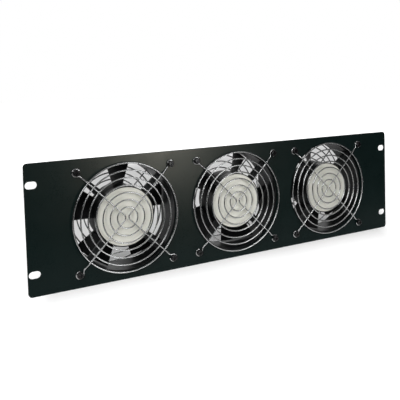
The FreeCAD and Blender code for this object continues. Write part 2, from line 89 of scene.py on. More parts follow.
# X of each fan's axis: the body rotor_left turns about the left fan's
FAN_X = {joint["child"].split("_")[1]: joint["pos_m"][0] / MM for joint in frame["joints"]}
PANEL_FACE = extent("front_panel")[0]
HOUSING_BACK = extent("left_fan_frame")[1]


# Settings

def length(name, description, default):
    """Property for a size in metres, from a default in millimetres."""
    return FloatProperty(name=name, description=description, default=default * MM, min=0.0,
                         subtype="DISTANCE", unit="LENGTH", precision=5)


def colour(name, thing, default):
    return FloatVectorProperty(name=name, description="Colour of the " + thing, default=default,
                               size=3, min=0.0, max=1.0, subtype="COLOR")


def angle(name, description, default):
    """Property for an angle, from a default in degrees."""
    return FloatProperty(name=name, description=description, default=math.radians(default),
                         subtype="ANGLE", unit="ROTATION")


def share(name, description, default):
    return FloatProperty(name=name, description=description, default=default, min=0.0, max=1.0,
                         subtype="FACTOR")


class PanelSettings(PropertyGroup):
    coat: colour("Coat", "powder coat", (0.0036, 0.0090, 0.0086))
    flecks: colour("Flecks", "coat's lighter flecks", (0.0066, 0.0130, 0.0126))
    gloss: share("Gloss", "Strength of the coat's reflection", 0.07)
    edge: length("Edge", "Width of the softened edges", 0.3)


class GuardSettings(PropertyGroup):
    wire: length("Wire", "Diameter of the guard wire", 1.6)
    rings: IntProperty(name="Rings", description="Number of rings", default=7, min=1)
    first_ring: length("First ring", "Radius of the smallest ring", 11.3)
    last_ring: length("Last ring", "Radius of the largest ring", 58.1)
    stand_off: length("Stand-off", "From the mounting face to the middle of the rings", 3.2)
    weld_depth: length("Weld depth", "How far rings and legs are pressed into each other", 0.25)
    weld: length("Weld", "Radius of a weld between ring and leg", 1.02)
    leg_bend: length("Leg bend", "Bend radius of a leg at the middle of the guard", 4.6)
    ramp_bend: length("Ramp bend", "Bend radius where a leg drops to the panel", 6.0)
    hook_bend: length("Hook bend", "Bend radius where a leg turns aside to its hook", 4.0)
    hook: length("Hook", "Radius of the hook round a screw", 3.7)
    ramp_start: length("Ramp start", "Distance from the axis at which a leg starts to drop", 61.0)
    ramp_end: length("Ramp end", "Distance from the axis at which a leg lies on the panel", 65.0)
    screw: length("Screw", "Distance of a screw from the axis, along X or Z", 52.5)
    plating: colour("Plating", "bright plating", (0.66, 0.67, 0.67))


class ImpellerSettings(PropertyGroup):
    blades: IntProperty(name="Blades", description="Number of blades", default=5, min=2)
    span: angle("Span", "Angle that one blade covers", 35.0)
    hub: length("Hub", "Radius of the hub", 32.0)
    wall: length("Hub wall", "Thickness of the hub's wall", 2.6)
    tip: length("Tip", "Distance of the blade tips from the axis", 56.1)
    front: length("Blade front", "Depth of the blades' front edges", 11.0)
    rear_inset: length("Blade rear inset", "From the hub's rear face to the blades' rear edges", 1.8)
    camber: length("Camber", "Height of a blade's curve over its chord", 3.2)
    root: length("Root", "Thickness of a blade at the hub", 2.6)
    tip_thickness: length("Tip thickness", "Thickness of a blade at its tip", 1.5)
    edge: length("Edge", "Thickness of a blade's front and rear edges", 0.7)
    fillet: length("Fillet", "Size of the fillet between blade and hub", 1.1)
    hub_edge: length("Hub edge", "Radius of the hub's rear edge", 3.5)
    plastic: colour("Plastic", "moulded blades", (0.0045, 0.0048, 0.0052))


class MotorSettings(PropertyGroup):
    label: colour("Label", "round foil plate", (0.89, 0.88, 0.80))
    label_edge: length("Label edge", "Width of the foil plate's rolled edge", 0.9)
    copper: colour("Winding", "enamelled wire", (0.55, 0.17, 0.045))
    winding_wire: length("Winding wire", "Diameter of the enamelled wire", 0.38)
    steel: colour("Laminations", "stator's laminations", (0.33, 0.32, 0.31))
    rotor: colour("Rotor cup", "rotor's steel cup", (0.45, 0.44, 0.41))
    ground: colour("Shaft", "ground shaft, bearings and rings", (0.72, 0.72, 0.73))
    edge: length("Edge", "Width of the softened edges of the steel parts", 0.1)


class HousingSettings(PropertyGroup):
    paint: colour("Paint", "housings' paint", (0.0075, 0.0085, 0.0088))
    edge: length("Edge", "Width of the softened edges", 0.35)
    block_edge: length("Block edge", "Width of the terminal blocks' softened edges", 0.3)
    tab_edge: length("Tab edge", "Width of the tabs' softened edges", 0.12)
    moulding: colour("Terminals", "terminal blocks", (0.012, 0.012, 0.012))
    tabs: colour("Tabs", "tinned tabs", (0.70, 0.67, 0.58))
    leads: colour("Leads", "lead wires", (0.035, 0.035, 0.037))


class FastenerSettings(PropertyGroup):
    pitch: length("Pitch", "Pitch of the screw thread", 0.7)
    thread: length("Thread", "Depth of the screw thread", 0.42)
    radius: length("Screw", "Radius of the screws", 2.0)
    head: length("Head", "Height of a screw's head", 2.6)
    head_edge: length("Head edge", "Width of the heads' softened edges", 0.12)
    edge: length("Edge", "Width of the washers' and nuts' softened edges", 0.15)
    blackened: colour("Screws", "blackened screws", (0.008, 0.0082, 0.0085))
    zinc: colour("Zinc", "plated washers and nuts", (0.62, 0.64, 0.64))


class StageSettings(PropertyGroup):
    camera: FloatVectorProperty(name="Camera", description="Place of the camera", size=3,
                                subtype="TRANSLATION", unit="LENGTH", default=(-0.3317, -0.5426, 0.1359))
    azimuth: angle("Azimuth", "Turn of the camera round the object", -27.856)
    elevation: angle("Elevation", "Tilt of the camera over the horizon", 3.026)
    roll: angle("Roll", "Turn of the camera about its own axis", -1.689)
    lens: FloatProperty(name="Lens", description="Focal length on a 36 mm wide sensor",
                        default=48.79, min=1.0, subtype="DISTANCE_CAMERA", unit="CAMERA")
    rise: FloatProperty(name="Shift", description="Vertical shift of the lens", default=-0.212)
    floor: share("Floor", "Brightness of the floor's paper", 0.84)


# Shapes as grids of points

def unit(vectors):
    """Vectors divided by their own lengths."""
    return vectors / np.linalg.norm(vectors, axis=-1, keepdims=True)


def full_turn(steps):
    """Angles that go once round in equal steps."""
    return np.arange(steps) * 2 * math.pi / steps


def squared(wave, power):
    """Sine or cosine whose size is raised to a power under 1, which squares up the circle it draws."""
    return np.sign(wave) * np.abs(wave) ** power


def shifted(grid, x, y=0.0, z=0.0):
    return grid + np.array([x, y, z])


def rotated(points, turn):
    """Points turned about the Y axis, counter-clockwise as seen from the front."""
    cos, sin = math.cos(turn), math.sin(turn)
    x, y, z = np.moveaxis(points, -1, 0)
    return np.stack([x * cos - z * sin, y, x * sin + z * cos], -1)


def cell_corners(rows, columns):
    """Row and column numbers of each cell's four corners, in order round the cell."""
    i, j = np.meshgrid(np.arange(rows), np.arange(columns), indexing="ij")
    corners = (i, i, i + 1, i + 1), (j, j + 1, j + 1, j)
    return [np.stack(numbers, -1).reshape(-1, 4) for numbers in corners]


def quads(rows, columns, close_rows, close_columns):
    """Four points of each cell. Where closed, the last row or column joins the first."""
    i, j = cell_corners(rows if close_rows else rows - 1, columns if close_columns else columns - 1)
    return i % rows * columns + j % columns


def cell_map(along, across):
    """Map coordinates of each cell's four corners, from one list of values per direction."""
    i, j = cell_corners(len(along) - 1, len(across) - 1)
    return np.stack([along[i], across[j]], -1).reshape(-1, 2)


def add_object(name, data):
    """New object in the scene, from a mesh, a lamp or a camera."""
    item = bpy.data.objects.new(name, data)
    bpy.context.scene.collection.objects.link(item)
    return item


def soften(mesh, sharp, dissolve=False):
    """Merges a mesh, turns its faces outwards and smooths it, except over edges sharper than an angle."""
    work = bmesh.new()
    work.from_mesh(mesh)
    bmesh.ops.remove_doubles(work, verts=work.verts, dist=2e-6)
    if dissolve:
        bmesh.ops.dissolve_limit(work, angle_limit=math.radians(0.3), verts=work.verts, edges=work.edges)
    bmesh.ops.recalc_face_normals(work, faces=work.faces)
    for face in work.faces:
        face.smooth = True
    for edge in work.edges:
        edge.smooth = edge.calc_face_angle(0.0) < sharp
    work.to_mesh(mesh)
    work.free()
    mesh.update()


def grid_piece(name, grids, sharp, uv=None):
    """Object from grids of points in millimetres, each given with whether its rows and columns close.

    Edges sharper than an angle in degrees stay crisp.
    """
    points = []
    faces = []
    count = 0
    for grid, close_rows, close_columns in grids:
        rows, columns = grid.shape[:2]
        faces.append(quads(rows, columns, close_rows, close_columns) + count)
        points.append(grid.reshape(-1, 3))
        count += rows * columns
    mesh = bpy.data.meshes.new(name)
    mesh.from_pydata((np.concatenate(points) * MM).tolist(), [], np.concatenate(faces).tolist())
    if uv is not None:
        layer = mesh.uv_layers.new(name="surface")
        layer.data.foreach_set("uv", np.concatenate(uv).astype(np.float32).ravel())
    soften(mesh, math.radians(sharp))
    return add_object(name, mesh)


def packed_mesh(name, node):
    """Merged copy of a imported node's mesh, with smooth curved faces."""
    mesh = frame["nodes"][node].data.copy()
    mesh.name = name
    custom = mesh.attributes.get("custom_normal")
    if custom is not None:
        mesh.attributes.remove(custom)
    soften(mesh, SHARP, True)
    return mesh


def bevelled(name, mesh, width):
    """Object from a mesh, with a narrow rounding along its sharp edges."""
    piece = add_object(name, mesh)
    if width > 0:
        bevel = piece.modifiers.new("edge", "BEVEL")
        bevel.width = width
        bevel.segments = 2
        bevel.limit_method = "ANGLE"
        bevel.angle_limit = SHARP
        bevel.harden_normals = True
    return piece


def mount(piece, body, material, node):
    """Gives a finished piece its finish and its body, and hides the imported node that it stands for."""
    piece.data.materials.clear()
    piece.data.materials.append(material)
    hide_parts(node)
    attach(piece, body)


def dress(node, name, edge, body, material):
    """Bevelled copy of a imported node, mounted in its place."""
    mount(bevelled(name, packed_mesh(name, node), edge), body, material, node)


def turned_grid(profile, segments):
    """Surface of revolution: each (radius, depth) of the profile goes round the Y axis in equal steps."""
    radius, depth = np.asarray(profile, float).T
    way = full_turn(segments)
    x = radius[:, None] * np.cos(way)
    z = radius[:, None] * np.sin(way)
    y = np.broadcast_to(depth[:, None], x.shape)
    return np.stack([x, y, z], -1)


def rounded_line(corners, radii):
    """Straight runs joined by arcs.

    An arc touches both runs at its radius over the tangent of half the corner's angle, and its
    points turn evenly about its centre from one touching point to the other.
    """
    arc_step = math.radians(7)
    runs = [corners[:1]]
    for before, corner, after, radius in zip(corners, corners[1:], corners[2:], radii):
        back = unit(before - corner)
        onward = unit(after - corner)
        half = math.acos(float(np.dot(back, onward))) / 2
        centre = corner + unit(back + onward) * radius / math.sin(half)
        first = corner + back * radius / math.tan(half) - centre
        last = corner + onward * radius / math.tan(half) - centre
        sweep = math.pi - 2 * half
        steps = np.linspace(0, 1, max(4, math.ceil(sweep / arc_step)))[:, None]
        arc = np.sin((1 - steps) * sweep) * first + np.sin(steps * sweep) * last
        runs.append(centre + arc / math.sin(sweep))
    runs.append(corners[-1:])
    return np.concatenate(runs)


def wire_grid(path, radius, sides):
    """Round wire: circles square to the path, each drawn from two directions square to its tangent.

    Both ends close with a short chamfer and a flat disc.
    """
    tangent = unit(np.gradient(path, axis=0))
    ends = [path[:1], path[:1], path[:1] + tangent[:1] * radius * 0.2, path[1:-1],
            path[-1:] - tangent[-1:] * radius * 0.2, path[-1:], path[-1:]]
    line = np.concatenate(ends)
    tangent = np.concatenate([tangent[[0, 0, 0]], tangent[1:-1], tangent[[-1, -1, -1]]])
    size = np.full(len(line), radius)
    size[[0, -1]] = 0.0
    size[[1, -2]] = radius * 0.8
    side = unit(np.cross(tangent, [0.0, 1.0, 0.0]))
    up = np.cross(side, tangent)
    way = full_turn(sides)[:, None]
    ring = np.cos(way) * side[:, None, :] + np.sin(way) * up[:, None, :]
    return line[:, None, :] + size[:, None, None] * ring


# Finishes

def darker(tone, part):
    return [channel * part for channel in tone]


class Graph:
    """A node tree, with short ways to add nodes and to feed their sockets."""

    def __init__(self, owner):
        owner.use_nodes = True
        self.tree = owner.node_tree

    def feed(self, target, value):
        """Links a socket to a node's input, or writes a value there."""
        if isinstance(value, NodeSocket):
            self.tree.links.new(value, target)
        else:
            target.default_value = value

    def feed_all(self, node, values):
        """Feeds inputs by their names, written with _ for a space."""
        for name, value in values.items():
            self.feed(node.inputs[name.replace("_", " ")], value)

    def node(self, kind, **values):
        """New shader node of a kind, with its inputs fed."""
        node = self.tree.nodes.new("ShaderNode" + kind)
        self.feed_all(node, values)
        return node

    def join(self, operation, first, second):
        """Math node on two values, each a socket or a number."""
        node = self.node("Math")
        node.operation = operation
        for target, value in zip(node.inputs, (first, second)):
            self.feed(target, value)
        return node.outputs["Value"]

    def ramp(self, source, low, high, start, end, step="SMOOTHSTEP"):
        """Value that goes from start to end as the source goes from low to high."""
        node = self.node("MapRange", Value=source, From_Min=low, From_Max=high, To_Min=start, To_Max=end)
        node.interpolation_type = step
        return node.outputs["Result"]

    def axes(self, source):
        """X, Y and Z of the surface's or the world's coordinates."""
        place = self.node("TexCoord").outputs[source]
        return self.node("SeparateXYZ", Vector=place).outputs


class Finish(Graph):
    """A material with the shader and the nodes that vary it."""

    def __init__(self, name, **values):
        self.material = bpy.data.materials.new(name)
        super().__init__(self.material)
        self.shader = self.tree.nodes["Principled BSDF"]
        self.place = self.node("TexCoord")
        self.feed_all(self.shader, values)

    def noise(self, size, detail=3.0, stretch=(1, 1, 1), source="Object"):
        """Noise whose features are about size millimetres across, or size on the piece's own map."""
        place = self.node("Mapping", Vector=self.place.outputs[source], Scale=stretch)
        scale = 1 / (size * MM if source == "Object" else size)
        node = self.node("TexNoise", Vector=place.outputs["Vector"], Scale=scale, Detail=detail)
        return node.outputs["Fac"]

    def stripes(self, axis, spacing, source="Object"):
        """Bands square to an axis, one every spacing millimetres, or spacing on the piece's own map."""
        scale = math.pi / 10 / (spacing * MM if source == "Object" else spacing)
        node = self.node("TexWave", Vector=self.place.outputs[source], Scale=scale)
        node.bands_direction = axis
        return node.outputs["Fac"]

    def patches(self, size, detail=3.0, low=0.0, high=1.0, start=0.3, end=0.7, **mapping):
        """Noise whose values between start and end, 0.3 and 0.7 for most of it, go from low to high."""
        return self.ramp(self.noise(size, detail, **mapping), start, end, low, high, "LINEAR")

    def blend(self, factor, first, second):
        """Colour between two colours or sockets."""
        node = self.node("Mix")
        node.data_type = "RGBA"
        self.feed(node.inputs["Factor"], factor)
        for name, value in (("A", first), ("B", second)):
            target = next(item for item in node.inputs if item.name == name and item.type == "RGBA")
            self.feed(target, value if isinstance(value, NodeSocket) else (*value, 1.0))
        return next(item for item in node.outputs if item.type == "RGBA")

    def shades(self, factor, tone, first, second):
        """Colour between two shades of a tone, each given as its share of the tone's brightness."""
        return self.blend(factor, darker(tone, first), darker(tone, second))

    def paint(self, source):
        self.feed(self.shader.inputs["Base Color"], source)

    def rough(self, *parts):
        """Roughness from one socket, or from the sum of two."""
        self.feed(self.shader.inputs["Roughness"], self.join("ADD", *parts) if parts[1:] else parts[0])

    def relief(self, height, depth, strength):
        """Bumps of a height socket, depth millimetres from low to high, over any relief made before."""
        node = self.node("Bump", Strength=strength, Distance=depth * MM, Height=height)
        normal = self.shader.inputs["Normal"]
        if normal.links:
            self.feed(node.inputs["Normal"], normal.links[0].from_socket)
        self.feed(normal, node.outputs["Normal"])

    def grain(self, size, detail, depth, strength, **mapping):
        """Relief made by noise."""
        self.relief(self.noise(size, detail, **mapping), depth, strength)


def powder_coat(settings):
    """Satin powder coat: fine orange peel with lighter flecks and softly uneven gloss."""
    finish = Finish("powder_coat", Specular_IOR_Level=settings.gloss, IOR=1.5)
    tone = finish.shades(finish.patches(38.0), settings.coat, 0.9, 1.12)
    finish.paint(finish.blend(finish.patches(0.35, 2.0, start=0.45, end=0.75), tone, settings.flecks))
    finish.rough(finish.patches(1.1, 2.0, 0.27, 0.32), finish.patches(22.0, 3.0, -0.02, 0.02))
    finish.grain(1.3, 1.0, 0.02, 0.5)
    finish.grain(0.32, 1.0, 0.006, 0.5)
    return finish.material


def cast_paint(settings):
    """Glossy paint over a die casting: a shallow flow texture and fine pits."""
    finish = Finish("housing_paint", Specular_IOR_Level=0.25)
    finish.paint(finish.shades(finish.patches(6.0, 4.0), settings.paint, 0.75, 1.25))
    finish.rough(finish.patches(2.4, 4.0, 0.34, 0.46), finish.patches(14.0, 2.0, -0.03, 0.04))
    finish.grain(2.2, 3.0, 0.03, 0.5)
    finish.grain(0.5, 2.0, 0.008, 0.45)
    return finish.material


def bright_plating(settings):
    """Bright nickel and chrome plating over drawn wire, with faint dull patches."""
    finish = Finish("bright_plating", Metallic=1.0)
    finish.paint(finish.shades(finish.patches(5.0, 4.0, start=0.35, end=0.8), settings.plating, 1.0, 0.86))
    finish.rough(finish.patches(3.0, 3.0, 0.2, 0.28))
    return finish.material


def weld_metal(settings):
    """Plated weld: the same metal, rippled and duller."""
    finish = Finish("plated_weld", Metallic=1.0)
    finish.paint(finish.shades(finish.patches(0.5), settings.plating, 0.75, 1.15))
    finish.rough(finish.patches(0.4, 3.0, 0.2, 0.42))
    finish.grain(0.35, 3.0, 0.05, 0.5)
    return finish.material


def moulded_black(settings):
    """Satin black plastic with wide, faint flow marks and a fine grain."""
    finish = Finish("moulded_black", Specular_IOR_Level=0.2, IOR=1.5)
    finish.paint(finish.shades(finish.patches(9.0), settings.plastic, 0.8, 1.3))
    finish.rough(finish.patches(3.0, 5.0, 0.42, 0.54))
    finish.grain(7.0, 2.0, 0.03, 0.35)
    finish.grain(0.4, 2.0, 0.003, 0.4)
    return finish.material


def foil(settings):
    """Satin foil plate: round brush marks, faint clouds, sparse darker specks and soft dents."""
    finish = Finish("label_foil", Metallic=0.35)
    base = finish.shades(finish.patches(11.0, 4.0), settings.label, 0.97, 1.02)
    specks = finish.patches(1.1, start=0.62, end=0.8)
    finish.paint(finish.blend(specks, base, darker(settings.label, 0.94)))
    brushed = finish.patches(0.006, 2.0, -0.03, 0.03, stretch=(0.02, 1, 1), source="UV")
    finish.rough(finish.patches(6.0, 3.0, 0.42, 0.46), brushed)
    finish.grain(0.004, 2.0, 0.002, 0.2, stretch=(0.03, 1, 1), source="UV")
    finish.grain(14.0, 1.0, 0.03, 0.2)
    return finish.material


def winding_enamel(settings):
    """Enamelled copper: rounded turns across the coil, with lighter and darker strands."""
    finish = Finish("winding_enamel", Metallic=0.85, Coat_Weight=0.7, Coat_Roughness=0.12)
    wire = settings.winding_wire / MM
    strands = finish.patches(wire * 2, 1.0, stretch=(0.02, 1, 1), source="UV")
    finish.paint(finish.shades(strands, settings.copper, 0.55, 1.0))
    finish.rough(finish.patches(2.0, 3.0, 0.22, 0.4))
    finish.relief(finish.stripes("Y", wire, "UV"), 0.14, 0.9)
    return finish.material


def laminations(settings):
    """Stacked steel sheets: a dark line between sheets every half millimetre, and patches of thin rust."""
    finish = Finish("laminations", Metallic=0.8)
    sheet, rust = 0.5, (0.20, 0.13, 0.09)
    sheets = finish.stripes("Y", sheet)
    steel = finish.blend(finish.patches(3.0, 4.0, start=0.55, end=0.8), settings.steel, rust)
    solid = finish.ramp(sheets, 0.05, 0.35, 0.0, 1.0, "LINEAR")
    finish.paint(finish.blend(solid, darker(settings.steel, 0.2), steel))
    finish.rough(finish.patches(1.2, 3.0, 0.35, 0.55))
    finish.relief(sheets, 0.08, 0.6)
    return finish.material


def worked_steel(name, tone, low, high, stretch=(1, 1, 1)):
    """Turned, drawn or ground steel: fine marks along one direction and faint clouds."""
    finish = Finish(name, Metallic=1.0)
    finish.paint(finish.shades(finish.patches(4.0, 4.0), tone, 0.82, 1.0))
    marks = finish.patches(1.2, 4.0, low, high, stretch=stretch)
    finish.rough(marks, finish.patches(6.0, 2.0, -0.03, 0.05))
    finish.grain(0.35, 3.0, 0.005, 0.5, stretch=stretch)
    return finish.material


def zinc_plate(settings):
    """Bright zinc with a faint yellow and blue bloom."""
    finish = Finish("zinc_plate", Metallic=1.0)
    blue, yellow = (0.56, 0.60, 0.66), (0.62, 0.57, 0.42)
    cool = finish.blend(finish.patches(2.6, 4.0), settings.zinc, blue)
    finish.paint(finish.blend(finish.patches(4.5, 3.0, 0.0, 0.55, 0.5, 0.75), cool, yellow))
    finish.rough(finish.patches(1.0, 4.0, 0.22, 0.4))
    finish.grain(0.3, 3.0, 0.006, 0.5)
    return finish.material


def black_oxide(settings):
    """Oiled black oxide on steel, rubbed paler in patches."""
    finish = Finish("black_oxide", Metallic=0.3, Specular_IOR_Level=0.5)
    finish.paint(finish.shades(finish.patches(1.6, 4.0, start=0.5, end=0.85), settings.blackened, 1.0, 2.5))
    finish.rough(finish.patches(0.9, 4.0, 0.16, 0.3))
    finish.grain(0.3, 2.0, 0.006, 0.5)
    return finish.material


def plain_moulding(name, tone, low=0.38, high=0.55, grain=0.5):
    """Moulded plastic with a fine spark-eroded grain."""
    finish = Finish(name, Specular_IOR_Level=0.4)
    finish.paint(finish.shades(finish.patches(2.0, 4.0), tone, 0.8, 1.25))
    finish.rough(finish.patches(1.0, 3.0, low, high))
    finish.grain(grain, 3.0, 0.012, 0.5)
    return finish.material


# Pieces

def guard_wires(settings, radii):
    """Rings and legs of a guard on a face at depth 0 that looks towards -Y.

    A ring's point is its radius round the axis plus the wire's radius round that circle. Two more
    wires make two legs each, from straight runs and arcs: a hook, a ramp, the diagonal, a bend at
    the middle, and the same out again.
    """
    wire = settings.wire / MM / 2
    level = -settings.stand_off / MM
    leg_level = level + 2 * wire - settings.weld_depth / MM
    ring_steps, wire_sides = 168, 14
    around = full_turn(ring_steps)[:, None]
    section = full_turn(wire_sides)
    grids = []
    for radius in radii:
        distance = radius + wire * np.cos(section)
        x = np.cos(around) * distance
        y = np.broadcast_to(level + wire * np.sin(section), x.shape)
        grids.append((np.stack([x, y, np.sin(around) * distance], -1), True, True))
    sidewards = math.cos(math.radians(45)) / MM  # along X or Z for each metre along a leg
    start, end = settings.ramp_start * sidewards, settings.ramp_end * sidewards
    middle = settings.screw / MM
    near, far = middle - settings.hook / MM, middle + settings.hook / MM
    hook = np.array([
        (start, leg_level, start), (end, -wire, end), (near, -wire, near), (near, -wire, far),
        (far, -wire, far), (far, -wire, near), (middle, -wire, near),
    ])
    bends = [settings.ramp_bend / MM] * 2 + [settings.hook_bend / MM] + [settings.hook / MM] * 3
    for first, second in ((90, 180), (0, 270)):
        corners = np.concatenate([rotated(hook, math.radians(first))[::-1], [[0.0, leg_level, 0.0]],
                                  rotated(hook, math.radians(second))])
        turns = bends[::-1] + [settings.leg_bend / MM] + bends
        grids.append((wire_grid(rounded_line(corners, turns), wire, wire_sides), False, True))
    return grids


def guard_welds(settings, radii):
    """Small flattened ball at each crossing of ring and leg, halfway between the two wires."""
    wire = settings.wire / MM / 2
    level = -settings.stand_off / MM + wire - settings.weld_depth / MM / 2
    height = wire * 1.15
    rows, sides = 9, 12
    latitude = np.linspace(-math.pi / 2, math.pi / 2, rows)[:, None]
    longitude = full_turn(sides)
    ball = np.stack([np.cos(latitude) * np.cos(longitude) * settings.weld / MM,
                     np.broadcast_to(np.sin(latitude) * height, (rows, sides)),
                     np.cos(latitude) * np.sin(longitude) * settings.weld / MM], -1)
    return [(ball + rotated(np.array([radius, level, 0.0]), math.radians(turn)), False, True)
            for radius in radii for turn in (45, 135, 225, 315)]


def blade_angle(settings, fan):
    """Angle of one blade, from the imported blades: their front corners lie half a span ahead of it."""
    mesh = frame["nodes"][fan + "_impeller"].data
    points = np.empty(len(mesh.vertices) * 3, np.float32)
    mesh.vertices.foreach_get("co", points)
    x, y, z = points.reshape(-1, 3).T / MM
    x = x - FAN_X[fan]
    near_tip, near_front = settings.tip / MM - 1.0, settings.front / MM + 0.6
    outer = (np.hypot(x, z) > near_tip) & (y < near_front)
    turns = np.exp(1j * settings.blades * np.arctan2(z[outer], x[outer]))
    return float(np.angle(turns.mean())) / settings.blades - settings.span / 2


def blade_grid(settings, rear):
    """Blade along +X as a function of the way round its section and the distance from the axis.

    Along the chord, t goes from 1 at the front edge to -1 at the rear edge. The chord leans from
    half the span ahead to half the span behind, the camber adds a parabola of t to it, and the
    thickness falls off towards both edges. A fillet swells the section next to the hub, and the last
    rows shrink so that the tip is round. Each point is then turned onto the circle of its distance,
    so that the tip follows the bore. The end inside the hub closes at its middle.
    """
    hub, tip = settings.hub / MM, settings.tip / MM
    fillet = settings.fillet / MM
    edge = settings.edge / MM
    around = full_turn(56)
    tip_round, sunk = 0.5, 1.0
    inner = hub - sunk + np.array([0.0, 0.7, 1.0, 1.25, 1.6, 2.1, 2.8, 3.8])
    outer = np.linspace(inner[-1] + 2.0, tip - tip_round, 12)
    rounding = np.linspace(0, math.pi / 2, 5)[1:]
    distance = np.concatenate([inner, outer, tip - tip_round + tip_round * np.sin(rounding)])[:, None]
    shrink = np.concatenate([np.ones(len(inner) + len(outer)), np.cos(rounding)])[:, None]
    t = np.cos(around)[None, :]
    way = squared(np.sin(around), 0.4)
    part = (distance - hub) / (tip - hub)
    thick = (settings.root / MM) * (1 - part) + (settings.tip_thickness / MM) * part
    swell = fillet * 1.5 * np.exp(-np.clip(distance - hub, 0, None) / (fillet * 0.55))
    thickness = edge + (thick - edge) * (1 - t ** 2) + swell
    half_chord = distance * math.tan(settings.span / 2)
    rise = rear - settings.front / MM
    chord = np.hypot(2 * half_chord, rise)
    lift = settings.camber / MM * (1 - t ** 2) + thickness / 2 * way * shrink
    sideways = t * half_chord + lift * rise / chord
    depth = (settings.front / MM + rear) / 2 - t * rise / 2 + lift * 2 * half_chord / chord
    angle = np.arctan2(sideways, distance)
    points = np.stack([distance * np.cos(angle), depth, distance * np.sin(angle)], -1)
    root = points[:1]
    return np.concatenate([np.broadcast_to(root.mean(1, keepdims=True), root.shape), points])


def hub_profile(settings, low, high):
    """Closed outline of the hub: side, rounded edge, rear face with a groove and a dimple, inner wall."""
    radius, wall, bend = settings.hub / MM, settings.wall / MM, settings.hub_edge / MM
    inner, floor = radius - wall, high - wall
    groove_from, groove_to, groove = 23.4, 25.2, high - 0.25
    dimple_to, dimple = 7.2, high - 0.3
    slope = 0.2
    edge = [(radius - bend + bend * math.cos(a), high - bend + bend * math.sin(a))
            for a in np.linspace(0, math.pi / 2, 9)]
    return ([(inner + 0.3, low), (radius - 0.4, low), (radius - 0.12, low + 0.12), (radius, low + 0.4)]
            + edge + [(groove_to, high), (groove_to - slope, groove), (groove_from + slope, groove),
                      (groove_from, high), (dimple_to, high), (dimple_to - slope, dimple),
                      (0.0, dimple), (0.0, floor), (inner, floor), (inner, low + 0.3)])


def label_profile(settings, low, high, radius):
    """Outline of the foil plate from the middle of its face, over a low rolled edge, to its back."""
    edge = settings.label_edge / MM
    dish = 0.06
    face = low + dish
    return [(0.0, face), (radius * 0.5, face), (radius - edge * 1.5, face), (radius - edge, low + dish / 2),
            (radius - edge * 0.75, low), (radius - edge * 0.35, low), (radius - 0.1, low + 0.04),
            (radius, low + 0.14), (radius, high - 0.05), (radius - 0.05, high), (0.0, high)]


def coil_grid(low, high, inner, outer, half_width, build, pole, turn):
    """Coil round the pole that points along +X, from inner to outer, then turned about the axis.

    Each row is a rounded rectangle between the pole's outline and the coil's. The rows go outwards
    on one end face, along the outside and inwards on the other end face.
    """
    half_height = (high - low) / 2
    # of the way from inner to outer, and of the way from the pole's outline to the coil's
    half = [(0.0, 0.0), (0.0, 0.5), (0.0, 0.82), (0.02, 0.93), (0.06, 0.985), (0.12, 1.0), (0.5, 1.0)]
    steps = np.array(half + [(1 - along, out) for along, out in half[-2::-1]])
    way = full_turn(72)
    cos, sin = np.cos(way), np.sin(way)
    crisp, soft = 0.12, 0.42
    inner_y, inner_z = squared(cos, crisp) * (half_height - build), squared(sin, crisp) * pole
    outer_y, outer_z = squared(cos, soft) * half_height, squared(sin, soft) * half_width
    out = steps[:, 1:]
    y = (low + high) / 2 + inner_y + out * (outer_y - inner_y)
    z = inner_z + out * (outer_z - inner_z)
    x = np.broadcast_to(inner + (outer - inner) * steps[:, :1], y.shape)
    return rotated(np.stack([x, y, z], -1), turn)


def thread_grid(settings, start, end):
    """Screw thread, closed at both ends and with a chamfer at the tip.

    The way along the screw in pitches, less the angle round it in turns, leaves a part of a turn.
    The radius is at the root where that part is 0, and at the crest where it is a half.
    """
    radius, depth, pitch = settings.radius / MM, settings.thread / MM, settings.pitch / MM
    chamfer, rows_per_turn, sides = 0.6, 6, 18
    along = np.linspace(start, end, int(abs(end - start) / pitch * rows_per_turn) + 1)[:, None]
    way = full_turn(sides)
    part = (np.abs(along - start) / pitch - way / (2 * math.pi)) % 1.0
    crest = np.clip(1.25 * (1 - np.abs(2 * part - 1)) - 0.1, 0, 1)
    taper = np.clip(np.abs(end - along) / chamfer, 0, 1)
    size = (radius - depth) * (0.85 + 0.15 * taper) + depth * crest * taper
    size = np.pad(size, ((1, 1), (0, 0)))
    along = np.pad(along, ((1, 1), (0, 0)), "edge")
    return np.stack([size * np.cos(way), np.broadcast_to(along, size.shape), size * np.sin(way)], -1)


def screw_heads(name, node, seat, forward, edge):
    """Packed screws without their plain shanks, which the threads stand in for."""
    mesh = packed_mesh(name, node)
    centres = np.empty(len(mesh.polygons) * 3)
    mesh.polygons.foreach_get("center", centres)
    depth = centres[1::3] / MM
    margin = 0.05
    beyond = depth > seat + margin if forward else depth < seat - margin
    work = bmesh.new()
    work.from_mesh(mesh)
    shanks = [face for face, cut in zip(work.faces, beyond) if cut]
    bmesh.ops.delete(work, geom=shanks, context="FACES")
    bmesh.ops.holes_fill(work, edges=[edge for edge in work.edges if edge.is_boundary])
    bmesh.ops.recalc_face_normals(work, faces=work.faces)
    work.to_mesh(mesh)
    work.free()
    return bevelled(name, mesh, edge)


class FanPanelOperator:
    """What every operator here shares."""

    bl_options = {"REGISTER", "UNDO"}


class FANPANEL_OT_front_panel(FanPanelOperator, Operator):
    """Gives the flat panel softened edges and its powder coat"""

    bl_idname = "fanpanel.front_panel"
    bl_label = "Front panel"

    def execute(self, context):
        settings = context.scene.fanpanel_panel
        dress("front_panel", "coated_panel", settings.edge, "root", powder_coat(settings))
        return {"FINISHED"}


